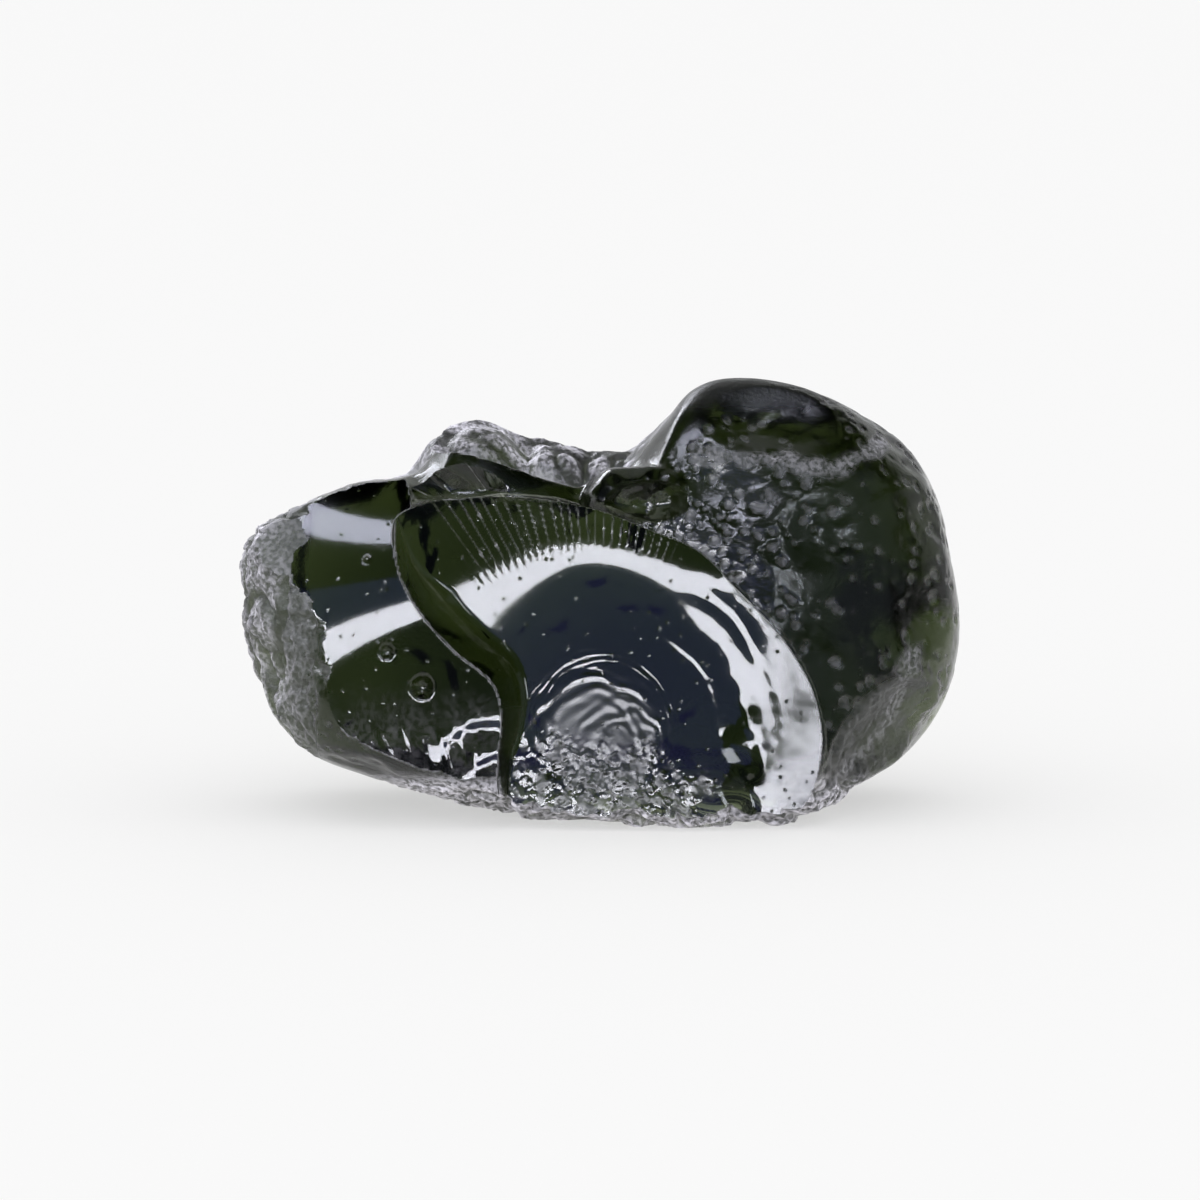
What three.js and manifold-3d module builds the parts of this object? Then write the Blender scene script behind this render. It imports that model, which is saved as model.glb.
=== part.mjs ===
// Moldavite: one piece of natural green glass. An etched, pitted pebble whose front has broken away in
// shell-shaped fractures. Millimetres, +Z up, broken face towards -Y, resting on a small flat at z = 0.
import * as THREE from "three";
import { mergeVertices } from "three/addons/utils/BufferGeometryUtils.js";
import Module from "manifold-3d";

const wasm = await Module();
wasm.setup();

// The stone is modelled in its face frame: x to the right, y into the stone and z up the broken face,
// from the middle of its outline. The face frame leans back by this angle, and the flat is this far below.
const faceLean = THREE.MathUtils.degToRad(8);
const restHeight = 8.05;
const restBehind = 0.6;
const restCutSide = 60;

// The outline seen square on to the broken face, anticlockwise from the right: [x, z].
const outline = [
  [15.0, 0.0], [14.5, 2.8], [13.8, 5.1], [12.7, 6.9], [10.8, 8.2], [8.3, 9.4],
  [5.4, 9.75], [3.9, 9.3], [2.7, 8.0], [1.4, 6.8], [-0.4, 6.75], [-2.9, 7.3],
  [-5.1, 7.85], [-6.5, 7.25], [-7.7, 5.85], [-10.4, 5.35], [-12.5, 4.45], [-14.4, 3.4],
  [-15.0, 1.95], [-14.9, -0.35], [-14.15, -3.2], [-12.6, -5.5], [-9.0, -7.0], [-4.6, -8.2],
  [0.0, -9.0], [3.75, -9.2], [7.1, -8.7], [10.0, -7.5], [12.8, -5.85], [14.3, -3.9], [14.9, -1.8],
];
const outlineSteps = 720;

// How far the pebble swells out of the outline's plane, and how squarely it turns from front to side.
const frontSwell = 6.6;
const backSwell = 6.8;
const squareness = { all: 2.5, upperLeft: 3.6, lowerBack: 5.0 };
const upperLeftFrom = { left: [0.3, 0.8], up: [0.05, 0.25] }; // directions over which the squarer parts begin
const lowerBackFrom = [0, 0.4];
const frontLean = 0.45; // the front swells more below the middle than above it, by this share
const chinCurve = 0.024; // the lower part is pushed forward by the square of its depth below the middle
const swing = { from: 3.0, curve: 0.01 }; // and the right end back by the square of its reach
const skinDetail = 19;
const weldDistance = 1e-4;
const finestEdge = 0.012; // slivers left by the cuts are folded away below this

// Lumps that join the pebble and hollows worn out of it, in this order: ellipsoids, each blended over a soft
// edge. The ease is how gently one begins where a ray from the middle grazes it.
const lump = "lump";
const hollow = "hollow";
const usualEase = { lump: 0.2, hollow: 0.01 };
const forms = [
  { name: "back left lobe", kind: lump, at: [-4.6, 2.8, 2.4], radii: [4.4, 4.9, 4.9], soft: 1.6 },
  { name: "back right shoulder", kind: lump, at: [6.8, 2.6, 2.4], radii: [7.0, 5.6, 6.2], soft: 2.2 },
  { name: "heel", kind: lump, at: [1.5, 2.6, -3.8], radii: [9.0, 5.6, 4.8], soft: 2.2 },
  { name: "lower right cheek", kind: lump, at: [7.0, -2.5, -5.5], radii: [4.0, 4.3, 3.2], soft: 1.0 },
  { name: "trough", kind: hollow, at: [-2.7, -1.2, 9.4], radii: [5.2, 3.4, 4.6], soft: 1.1, ease: 0.3 },
  { name: "first knob", kind: lump, at: [-5.0, 1.0, 5.5], radii: [2.3, 2.4, 2.25], soft: 1.4 },
  { name: "second knob", kind: lump, at: [-2.0, 1.3, 5.3], radii: [1.7, 2.2, 1.75], soft: 1.1 },
  { name: "third knob", kind: lump, at: [0.3, 1.5, 5.0], radii: [1.6, 2.0, 1.6], soft: 1.1 },
  { name: "green knob", kind: lump, at: [-7.8, -2.0, 4.75], radii: [1.0, 0.9, 0.9], soft: 0.2 },
  { name: "undercut", kind: hollow, at: [-5.9, -4.7, 5.1], radii: [2.2, 1.9, 0.75], soft: 0.2 },
  { name: "old break", kind: hollow, at: [8.2, -5.8, 10.2], radii: [5.8, 4.5, 4.3], soft: 0.5 },
  { name: "right bump", kind: lump, at: [11.0, -2.3, 4.2], radii: [1.7, 1.6, 1.2], soft: 0.9 },
  { name: "lip of the cup", kind: lump, at: [1.8, -2.7, 4.55], radii: [2.9, 2.2, 1.7], soft: 0.3 },
  { name: "right flank", kind: hollow, at: [16.2, -4.6, 4.4], radii: [3.2, 4.0, 2.2], soft: 0.8 },
  { name: "lower right flat", kind: hollow, at: [15.7, -6.4, -7.6], radii: [6.0, 6.0, 6.0], soft: 0.3 },
  { name: "left flank", kind: hollow, at: [-16.2, -3.6, -2.6], radii: [3.2, 3.6, 2.4], soft: 0.8 },
  { name: "back groove", kind: hollow, at: [0.6, 11.4, 5.2], radii: [2.8, 5.2, 6.4], soft: 1.2 },
  { name: "back upper left dish", kind: hollow, at: [-11.6, 8.4, 6.6], radii: [4.6, 5.0, 4.2], soft: 1.0 },
  { name: "back left dish", kind: hollow, at: [-9.8, 10.2, -2.8], radii: [4.6, 5.2, 3.6], soft: 1.2 },
  { name: "back right dish", kind: hollow, at: [11.6, 10.0, -1.8], radii: [4.2, 5.0, 3.4], soft: 1.2 },
];

// A round cup in the top rim, under the trough.
const cup = { at: [1.95, -5.5, 4.6], radii: [2.1, 2.2, 1.05], around: 28, rings: 18 };

// Etch pits are spread evenly over the skin, in sizes that repeat by the golden ratio.
const pitCount = 84;
const pitRadius = { least: 0.9, most: 2.3 };
const pitDepth = { front: 0.14, back: 0.34 }; // share of the radius, deeper at the back
const pitBack = { from: [0, 0.4], below: 0.4 }; // where the back begins, a little further down than up
const goldenRatio = (1 + Math.sqrt(5)) / 2;

// Fractures are cut with solids that reach this far in front of the stone.
const cutReach = -16;
const depthHalvings = 24;
const rimLip = 0.3;
const rimInset = 0.12;
const innerShare = 0.75; // the rings round the middle stay within this share of the way to the rim

// The edge where the left facet breaks off: a sloping blade steps down from it into the main fracture.
const bladeEdge = [
  [-8.46, 3.83], [-8.33, 1.75], [-7.5, 0.08], [-6.04, -1.58], [-4.4, -3.0], [-4.05, -4.4], [-4.2, -6.0],
  [-4.0, -8.0],
];
const bladeWidth = [[0, 0.15], [0.12, 0.9], [0.3, 1.75], [0.55, 1.6], [0.75, 1.0], [1, 0.25]]; // share, width
const bladeHollow = 1.9;
const bladeSteps = 42;

// The main fracture: a shallow dish that spread from one blow near the bottom edge.
const mainFracture = {
  rim: [
    ...bladeEdge, [-2.2, -9.3], [2.0, -9.7], [5.5, -9.4], [8.2, -8.2], [9.1, -5.6], [8.8, -3.4],
    [7.6, -1.2], [5.7, 0.9], [4.1, 2.5], [2.3, 3.3], [0.0, 4.2], [-2.6, 4.7], [-5.2, 4.75], [-7.2, 4.5],
  ],
  middle: [0.5, -5.0],
  blow: [0.1, -5.2],
  depth: -5.2,
  floorTilt: 0.27,
  floorTiltAcross: { left: -0.12, right: -0.04, reach: 4 },
  ringTop: { radius: 6.83, curve: 0.135, slope: 0.24 }, // beyond the radius the shell curls up to its rim
  ringLeft: { radius: 5.4, curve: 0.08, slope: 0.36, angles: [95, 136] },
  ringRight: { radius: 5.9, curve: 0.12, slope: 0.3, angles: [50, 98] },
  terraces: [
    { at: 6.35, width: 0.34, slope: 0.15 },
    { at: 7.3, width: 0.12, slope: 0.2 },
    { at: 8.3, width: 0.45, slope: 0.16 },
  ],
  terraceAngles: { low: [-25, 5], high: [48, 66] },
  heel: { from: [4.4, 6.9], top: -1.2, curve: 0.06, most: 0.145 }, // the right foot of the dish turns down
  ripple: { spacing: 1.15, height: 0.05, from: [0.3, 1.2], to: [2.9, 3.6] },
  around: 72,
  inner: { radius: 3.4, rings: 12 },
  outerRings: 9,
};

// The left facet: a smooth, crowned break beside the main one, standing proud of it at the blade.
const leftFacet = {
  middle: [-9.6, -0.4],
  rim: [
    [-8.3, 5.9], [-10.4, 6.4], [-14.2, 5.4], [-15.8, 1.0], [-14.4, -4.4], [-11.4, -7.4], [-7.0, -8.4],
    [-2.0, -8.2], [-1.4, -5.6], [-3.2, -2.6], [-5.2, -0.6], [-6.8, 1.4], [-7.6, 3.0], [-7.7, 3.9],
  ],
  depth: -4.75,
  tiltAcross: -0.13,
  crest: { height: 1.23, slope: 0.17 },
  crestTilt: 0.36,
  footTilt: 0.06,
  bend: { middle: 0.1, grows: 0.014, least: 0.06, most: 0.16 },
  chip: { at: [-4.2, -7.4], reach: 2.4, width: 0.6, slope: 0.2 }, // a thumbnail shell low on the right
  around: 48,
  inner: { radius: 3, rings: 4 },
  outerRings: 4,
};

const glass = new THREE.MeshStandardMaterial({ color: 0x2c3524, roughness: 0.25, metalness: 0 });

function smoothstep(from, to, value) {
  return THREE.MathUtils.smoothstep(value, from, to);
}

function softMin(a, b, width) {
  const share = THREE.MathUtils.clamp(0.5 + (0.5 * (b - a)) / width, 0, 1);
  return THREE.MathUtils.lerp(b, a, share) - width * share * (1 - share);
}

// Distances along a ray from the middle at which it enters and leaves an ellipsoid, and how thick that is as a
// share of the distance, or null if the ray misses.
function crossings(direction, { at, radii }) {
  let squared = 0;
  let along = 0;
  let beyond = -1;
  direction.toArray().forEach((part, axis) => {
    squared += (part / radii[axis]) ** 2;
    along += (part * at[axis]) / radii[axis] ** 2;
    beyond += (at[axis] / radii[axis]) ** 2;
  });
  const inside = along * along - squared * beyond;
  if (inside <= 0) return null;
  const half = Math.sqrt(inside);
  return {
    enters: (along - half) / squared,
    leaves: (along + half) / squared,
    thickness: half / Math.abs(along),
  };
}

// The outline as a radius for each whole step of angle round the middle.
const outlineRadii = (() => {
  const curve = new THREE.CatmullRomCurve3(
    outline.map(([x, z]) => new THREE.Vector3(x, 0, z)), true, "centripetal",
  );
  const samples = curve.getPoints(outlineSteps * 4).map((p) => [Math.atan2(p.z, p.x), Math.hypot(p.x, p.z)]);
  samples.sort((a, b) => a[0] - b[0]);
  let next = 0;
  return Array.from({ length: outlineSteps }, (_, step) => {
    const angle = -Math.PI + (step * 2 * Math.PI) / outlineSteps;
    while (next < samples.length - 1 && samples[next][0] < angle) next += 1;
    return samples[next][1];
  });
})();

function outlineRadius(angle) {
  const place = ((angle + Math.PI) / (2 * Math.PI)) * outlineSteps;
  const before = Math.floor(place);
  const after = before + 1;
  return THREE.MathUtils.lerp(
    outlineRadii[before % outlineSteps], outlineRadii[after % outlineSteps], place - before,
  );
}

// The worn pebble before its pits: its radius from the middle in any direction.
function pebbleRadius(direction) {
  const across = Math.hypot(direction.x, direction.z);
  const rim = outlineRadius(Math.atan2(direction.z, direction.x));
  const swell = direction.y < 0 ? frontSwell * (1 - frontLean * direction.z) : backSwell;
  const leftShare = smoothstep(...upperLeftFrom.left, -direction.x);
  const upperLeft = leftShare * smoothstep(...upperLeftFrom.up, direction.z);
  const lowerBack = smoothstep(...lowerBackFrom, -direction.z);
  const power = direction.y < 0
    ? THREE.MathUtils.lerp(squareness.all, squareness.upperLeft, upperLeft)
    : THREE.MathUtils.lerp(squareness.all, squareness.lowerBack, lowerBack);
  let radius = ((across / rim) ** power + (Math.abs(direction.y) / swell) ** power) ** (-1 / power);
  for (const form of forms) {
    const met = crossings(direction, form);
    if (!met || met.leaves <= 0) continue;
    const shaped = form.kind === lump
      ? -softMin(-radius, -met.leaves, form.soft)
      : softMin(radius, met.enters, form.soft);
    const eased = smoothstep(0, form.ease ?? usualEase[form.kind], met.thickness);
    radius = THREE.MathUtils.lerp(radius, shaped, eased);
  }
  return radius;
}

// How far back a place on the face is pushed by the chin and the swing of the right end.
function pushedBack(x, z) {
  return swing.curve * Math.max(0, x - swing.from) ** 2 - chinCurve * Math.min(0, z) ** 2;
}

const pits = Array.from({ length: pitCount }, (_, i) => {
  const up = 1 - (2 * i + 1) / pitCount;
  const turn = (2 * Math.PI * i) / goldenRatio;
  const ring = Math.sqrt(1 - up * up);
  const toward = new THREE.Vector3(ring * Math.cos(turn), ring * Math.sin(turn), up);
  const size = (i * goldenRatio * goldenRatio) % 1;
  const radius = THREE.MathUtils.lerp(pitRadius.least, pitRadius.most, size ** 2);
  const share = THREE.MathUtils.lerp(
    pitDepth.front, pitDepth.back, smoothstep(...pitBack.from, toward.y - pitBack.below * toward.z),
  );
  return { at: toward.clone().multiplyScalar(pebbleRadius(toward)), radius, depth: radius * share };
});

// The skin is the pebble with each pit's bowl taken off along the radius, pushed forward or back.
function skinPoint(direction) {
  const point = direction.clone().multiplyScalar(pebbleRadius(direction));
  let sunk = 0;
  for (const pit of pits) {
    const share = point.distanceTo(pit.at) / pit.radius;
    if (share < 1) sunk = Math.max(sunk, pit.depth * (1 - share * share) ** 2);
  }
  point.addScaledVector(direction, -sunk);
  point.y += pushedBack(point.x, point.z);
  return point;
}

// Depth of the unbroken front at a place on the face.
function frontDepth(x, z) {
  let far = 0;
  let near = cutReach;
  for (let halving = 0; halving < depthHalvings; halving += 1) {
    const y = (far + near) / 2;
    const point = new THREE.Vector3(x, y, z);
    const length = point.length();
    if (length > pebbleRadius(point.divideScalar(length))) near = y;
    else far = y;
  }
  return far + pushedBack(x, z);
}

function toSolid(geometry) {
  const bare = new THREE.BufferGeometry().setAttribute("position", geometry.getAttribute("position"));
  if (geometry.index) bare.setIndex(geometry.index);
  const merged = mergeVertices(bare, weldDistance);
  return new wasm.Manifold(new wasm.Mesh({
    numProp: 3,
    vertProperties: new Float32Array(merged.getAttribute("position").array),
    triVerts: new Uint32Array(merged.index.array),
  }));
}

function toGeometry(solid) {
  const { vertProperties, triVerts } = solid.getMesh();
  return new THREE.BufferGeometry()
    .setAttribute("position", new THREE.BufferAttribute(vertProperties, 3))
    .setIndex(new THREE.BufferAttribute(triVerts, 1));
}

function skinSolid() {
  const geometry = new THREE.IcosahedronGeometry(1, skinDetail);
  const position = geometry.getAttribute("position");
  const direction = new THREE.Vector3();
  for (let i = 0; i < position.count; i += 1) {
    const point = skinPoint(direction.fromBufferAttribute(position, i).normalize());
    position.setXYZ(i, point.x, point.y, point.z);
  }
  return toSolid(geometry);
}

function rimCurve(rim, around) {
  const curve = new THREE.CatmullRomCurve3(
    rim.map(([x, z]) => new THREE.Vector3(x, 0, z)), true, "centripetal",
  );
  return curve.getSpacedPoints(around).slice(0, around);
}

// A solid that takes away everything in front of a fracture surface, inside its rim.
// Its inner rings are round the middle, and its outer rings spread out from them to the rim.
function fractureTool({ middle, rim, around, inner, outerRings }, depthAt) {
  const edge = rimCurve(rim, around);
  const corners = [];
  const faces = [];
  const add = (x, y, z) => corners.push(x, y, z) / 3 - 1;
  const floorMiddle = add(middle[0], depthAt(middle[0], middle[1]), middle[1]);
  const capMiddle = add(middle[0], cutReach, middle[1]);
  const rows = [];
  for (let ring = 1; ring <= inner.rings + outerRings; ring += 1) {
    rows.push(edge.map((p) => {
      const reach = Math.hypot(p.x - middle[0], p.z - middle[1]);
      const round = Math.min(inner.radius, innerShare * reach);
      const outer = Math.max(0, ring - inner.rings) / outerRings;
      const spread = THREE.MathUtils.lerp(round, reach - rimInset, outer);
      const share = (spread * Math.min(1, ring / inner.rings)) / reach;
      const x = THREE.MathUtils.lerp(middle[0], p.x, share);
      const z = THREE.MathUtils.lerp(middle[1], p.z, share);
      return add(x, depthAt(x, z), z);
    }));
  }
  rows.push(edge.map((p) => add(p.x, Math.min(frontDepth(p.x, p.z), depthAt(p.x, p.z)) - rimLip, p.z)));
  rows.push(edge.map((p) => add(p.x, cutReach, p.z)));
  for (let j = 0; j < around; j += 1) {
    const k = (j + 1) % around;
    faces.push(floorMiddle, rows[0][k], rows[0][j]);
    for (let i = 0; i < rows.length - 1; i += 1) {
      faces.push(rows[i][j], rows[i + 1][k], rows[i + 1][j], rows[i][j], rows[i][k], rows[i + 1][k]);
    }
    faces.push(capMiddle, rows.at(-1)[j], rows.at(-1)[k]);
  }
  const geometry = new THREE.BufferGeometry()
    .setAttribute("position", new THREE.Float32BufferAttribute(corners, 3))
    .setIndex(faces);
  return toSolid(geometry);
}

// The facet rolls back above its crest and runs straight down below it.
function leftFacetDepth(x, z) {
  const f = leftFacet;
  const right = x - f.middle[0];
  const bend = THREE.MathUtils.clamp(f.bend.middle + f.bend.grows * right, f.bend.least, f.bend.most);
  const up = z - f.crest.height - f.crest.slope * right;
  const bent = Math.max(up, (f.footTilt - f.crestTilt) / bend);
  const rolled = f.crestTilt * bent + 0.5 * bend * bent * bent + f.footTilt * (up - bent);
  const chipReach = Math.hypot(x - f.chip.at[0], z - f.chip.at[1]);
  const chipped = f.chip.slope * f.chip.width * (Math.tanh((chipReach - f.chip.reach) / f.chip.width) - 1);
  return f.depth + f.tiltAcross * right + rolled + chipped;
}

const bladePoints = new THREE.CatmullRomCurve3(
  bladeEdge.map(([x, z]) => new THREE.Vector3(x, 0, z)), false, "centripetal",
).getPoints(bladeSteps);

// How far up the blade a place is: 1 on its edge, 0 at its foot and beyond.
function bladeRise(x, z) {
  const place = new THREE.Vector3(x, 0, z);
  const foot = new THREE.Vector3();
  const run = new THREE.Line3();
  let nearest = Infinity;
  let along = 0;
  for (let i = 0; i < bladeSteps; i += 1) {
    const share = run.set(bladePoints[i], bladePoints[i + 1]).closestPointToPointParameter(place, true);
    const distance = run.at(share, foot).distanceTo(place);
    if (distance < nearest) {
      nearest = distance;
      along = (i + share) / bladeSteps;
    }
  }
  const next = bladeWidth.findIndex(([place]) => place >= along && place > 0);
  const [before, widthBefore] = bladeWidth[next - 1];
  const [after, widthAfter] = bladeWidth[next];
  const width = THREE.MathUtils.mapLinear(along, before, after, widthBefore, widthAfter);
  return Math.max(0, 1 - nearest / width) ** bladeHollow;
}

// The dish rises from a tilted, rippled floor: curling up at the top and left, in terraces on the right.
function mainFractureDepth(x, z) {
  const f = mainFracture;
  const right = x - f.blow[0];
  const up = z - f.blow[1];
  const reach = Math.hypot(right, up);
  const turn = THREE.MathUtils.radToDeg(Math.atan2(up, right));
  const angle = turn < -90 ? turn + 360 : turn;
  const leftwards = smoothstep(...f.ringLeft.angles, angle);
  const rightwards = 1 - smoothstep(...f.ringRight.angles, angle);
  const [radius, curve, steepest] = ["radius", "curve", "slope"].map((key) => {
    const topToLeft = THREE.MathUtils.lerp(f.ringTop[key], f.ringLeft[key], leftwards);
    return THREE.MathUtils.lerp(topToLeft, f.ringRight[key], rightwards);
  });
  const beyond = Math.max(0, reach - radius);
  const curled = Math.min(beyond, steepest / curve);
  const ring = 0.5 * curve * curled ** 2 + steepest * (beyond - curled);
  const { low, high } = f.terraceAngles;
  const terraced = smoothstep(...low, angle) * (1 - smoothstep(...high, angle));
  let terraces = 0;
  for (const { at, width, slope } of f.terraces) {
    terraces += slope * width * (1 + Math.tanh((reach - at) / width));
  }

  const drop = Math.max(0, f.heel.top - z);
  const bent = Math.min(drop, f.heel.most / f.heel.curve);
  const heel = (0.5 * f.heel.curve * bent ** 2 + f.heel.most * (drop - bent)) * smoothstep(...f.heel.from, x);
  const ripples = Math.hypot(x - f.middle[0], z - f.middle[1]);
  const rippled = smoothstep(...f.ripple.from, ripples) * (1 - smoothstep(...f.ripple.to, ripples));
  const ripple = f.ripple.height * rippled * Math.cos((2 * Math.PI * ripples) / f.ripple.spacing);
  const across = f.floorTiltAcross;
  const rightShare = smoothstep(-across.reach, across.reach, x);
  const tilt = THREE.MathUtils.lerp(across.left, across.right, rightShare) * x;

  const rise = THREE.MathUtils.lerp(ring, terraces, terraced);
  const floor = f.depth + f.floorTilt * up + tilt - rise + heel - ripple;
  return THREE.MathUtils.lerp(floor, Math.min(floor, leftFacetDepth(x, z)), bladeRise(x, z));
}

function cupTool() {
  return toSolid(new THREE.SphereGeometry(1, cup.around, cup.rings).scale(...cup.radii).translate(...cup.at));
}

// Everything below the resting plane, which is level once the face leans back.
function restTool() {
  const box = new THREE.BoxGeometry(restCutSide, restCutSide, restCutSide);
  return toSolid(box.translate(0, 0, -restCutSide / 2 - restHeight).rotateX(faceLean));
}

function stone() {
  const solid = skinSolid()
    .subtract(fractureTool(leftFacet, leftFacetDepth))
    .subtract(fractureTool(mainFracture, mainFractureDepth))
    .subtract(cupTool())
    .subtract(restTool())
    .simplify(finestEdge);
  const mesh = new THREE.Mesh(toGeometry(solid), glass);
  mesh.name = "moldavite";
  return mesh;
}

const part = new THREE.Group();
part.add(stone());
part.rotation.x = -faceLean;
part.position.set(0, restBehind, restHeight);

export default part;
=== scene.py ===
import itertools
import math

import bmesh
import bpy
import numpy as np
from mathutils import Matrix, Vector


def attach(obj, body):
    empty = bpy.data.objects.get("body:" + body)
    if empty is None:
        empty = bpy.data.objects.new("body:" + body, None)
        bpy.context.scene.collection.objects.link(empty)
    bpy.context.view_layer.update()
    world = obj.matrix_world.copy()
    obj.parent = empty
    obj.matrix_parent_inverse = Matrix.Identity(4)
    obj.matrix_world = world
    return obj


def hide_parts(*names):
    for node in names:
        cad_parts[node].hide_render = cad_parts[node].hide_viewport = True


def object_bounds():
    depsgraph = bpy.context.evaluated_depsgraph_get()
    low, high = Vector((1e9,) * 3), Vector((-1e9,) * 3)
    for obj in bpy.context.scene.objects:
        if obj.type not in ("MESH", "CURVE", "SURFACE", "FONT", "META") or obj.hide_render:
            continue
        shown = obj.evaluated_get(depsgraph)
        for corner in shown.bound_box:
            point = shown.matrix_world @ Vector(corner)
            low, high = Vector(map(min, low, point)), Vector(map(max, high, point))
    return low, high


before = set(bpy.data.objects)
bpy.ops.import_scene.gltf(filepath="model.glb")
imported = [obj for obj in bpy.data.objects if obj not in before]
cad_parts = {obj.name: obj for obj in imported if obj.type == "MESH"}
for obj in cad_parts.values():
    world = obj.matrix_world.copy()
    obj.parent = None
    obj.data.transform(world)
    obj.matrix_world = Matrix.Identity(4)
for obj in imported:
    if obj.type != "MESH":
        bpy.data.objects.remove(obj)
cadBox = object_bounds()
mm = 0.001

# The stone is worked out in its face frame, in mm: x right, y into the stone, z up the broken face.
# The face frame then leans back and is lifted until the flat underside is on the floor.
stance = {"lean": math.radians(8), "height": 8.05, "behind": 0.6}

goldenRatio = (1 + math.sqrt(5)) / 2
flatCells = 64  # noise on the broken face repeats after so many lumps
spaceCells = 32  # and noise in space after these
lineSteps = 8  # to each stretch of an open line


def smooth(low, high, value):
    share = np.clip((value - low) / (high - low), 0, 1)
    return share * share * (3 - 2 * share)


def mix(a, b, share):
    return a + (b - a) * share


def softMin(a, b, width):
    share = np.clip(0.5 + 0.5 * (b - a) / width, 0, 1)
    return mix(b, a, share) - width * share * (1 - share)


# smooth noise from -1 to 1 on the broken face, with lumps of the given size
def noise(x, z, size, seed):
    lattice = np.random.default_rng(seed).uniform(-1, 1, (flatCells, flatCells))
    across, up = x / size, z / size
    left, low = np.floor(across).astype(int), np.floor(up).astype(int)
    shareX, shareZ = (v * v * (3 - 2 * v) for v in (across - left, up - low))
    corner = [[lattice[(left + i) % flatCells, (low + j) % flatCells] for j in (0, 1)] for i in (0, 1)]
    bottom, top = (mix(corner[0][j], corner[1][j], shareX) for j in (0, 1))
    return mix(bottom, top, shareZ)


# the same kind of noise in space
def noise3(points, size, seed):
    lattice = np.random.default_rng(seed).uniform(-1, 1, (spaceCells, spaceCells, spaceCells))
    low = np.floor(points / size).astype(int)
    share = points / size - low
    share = share * share * (3 - 2 * share)
    made = np.zeros(len(points))
    for corner in itertools.product((0, 1), repeat=3):
        weight = np.prod(np.where(corner, share, 1 - share), axis=1)
        made += weight * lattice[tuple(((low + corner) % spaceCells).T)]
    return made


# values made uneven by layers of noise: how much, size of the lumps and seed
def uneven(values, x, z, layers):
    for much, size, seed in layers:
        values = values + much * noise(x, z, size, seed)
    return values


# small flat facets that tilt every way, as crushed glass has
def facets(x, z, size, tilt, seed):
    picks = np.random.default_rng(seed)
    lattice = picks.uniform(0, 1, (flatCells, flatCells, 2))
    slopes = picks.uniform(-tilt, tilt, (flatCells, flatCells, 2))
    left, low = np.floor(x / size).astype(int), np.floor(z / size).astype(int)
    nearest = np.full(x.shape, np.inf)
    height = np.zeros(x.shape)
    for i, j in itertools.product((-1, 0, 1), repeat=2):
        cell = (left + i) % flatCells, (low + j) % flatCells
        dx = x - (left + i + lattice[cell][..., 0]) * size
        dz = z - (low + j + lattice[cell][..., 1]) * size
        away = dx**2 + dz**2
        height = np.where(away < nearest, slopes[cell][..., 0] * dx + slopes[cell][..., 1] * dz, height)
        nearest = np.minimum(away, nearest)
    return height


# centripetal curve through the points, closed or open, with so many steps to a stretch
def curveThrough(points, steps, closed=True):
    points = np.array(points, float)
    if closed:
        before, after = np.roll(points, 1, 0), np.roll(points, -1, 0)
        beyond = np.roll(points, -2, 0)
        runs = zip(before, points, after, beyond)
    else:
        ends = np.vstack([2 * points[0] - points[1], points, 2 * points[-1] - points[-2]])
        runs = zip(ends[:-3], ends[1:-2], ends[2:-1], ends[3:])
    share = np.linspace(0, 1, steps, endpoint=False)[:, None]
    made = []
    for a, b, c, d in runs:
        ab, bc, cd = (max(math.sqrt(np.linalg.norm(q - p)), 1e-6) for p, q in ((a, b), (b, c), (c, d)))
        leave = ((b - a) / ab - (c - a) / (ab + bc) + (c - b) / bc) * bc
        arrive = ((c - b) / bc - (d - b) / (bc + cd) + (d - c) / cd) * bc
        made.append(
            b + leave * share + (3 * (c - b) - 2 * leave - arrive) * share**2
            + (2 * (b - c) + leave + arrive) * share**3
        )
    if not closed:
        made.append(points[-1:])
    return np.vstack(made)


# how far places are from an open curve, and how far along it
def nearCurve(x, z, curve):
    nearest = np.full(x.shape, np.inf)
    along = np.zeros(x.shape)
    for number, (a, b) in enumerate(zip(curve[:-1], curve[1:])):
        run = b - a
        share = np.clip(((x - a[0]) * run[0] + (z - a[1]) * run[1]) / (run @ run), 0, 1)
        away = np.hypot(x - a[0] - share * run[0], z - a[1] - share * run[1])
        along = np.where(away < nearest, (number + share) / (len(curve) - 1), along)
        nearest = np.minimum(away, nearest)
    return nearest, along


def newObject(name, points, faces):
    mesh = bpy.data.meshes.new(name)
    mesh.from_pydata(points.tolist(), [], faces)
    mesh.validate()
    made = bpy.data.objects.new(name, mesh)
    bpy.context.scene.collection.objects.link(made)
    return made


def faceOut(piece):
    shape = bmesh.new()
    shape.from_mesh(piece.data)
    bmesh.ops.triangulate(shape, faces=shape.faces)
    bmesh.ops.recalc_face_normals(shape, faces=shape.faces)
    if shape.calc_volume(signed=True) < 0:
        bmesh.ops.reverse_faces(shape, faces=shape.faces)
    shape.to_mesh(piece.data)
    shape.free()


def combine(piece, tool, operation):
    cut = piece.modifiers.new(operation, "BOOLEAN")
    cut.operation = operation
    cut.solver = "MANIFOLD"
    cut.object = tool
    ready = piece.evaluated_get(bpy.context.evaluated_depsgraph_get())
    made = bpy.data.meshes.new_from_object(ready)
    piece.modifiers.clear()
    piece.data = made
    bpy.data.objects.remove(tool)
    return piece


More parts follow.
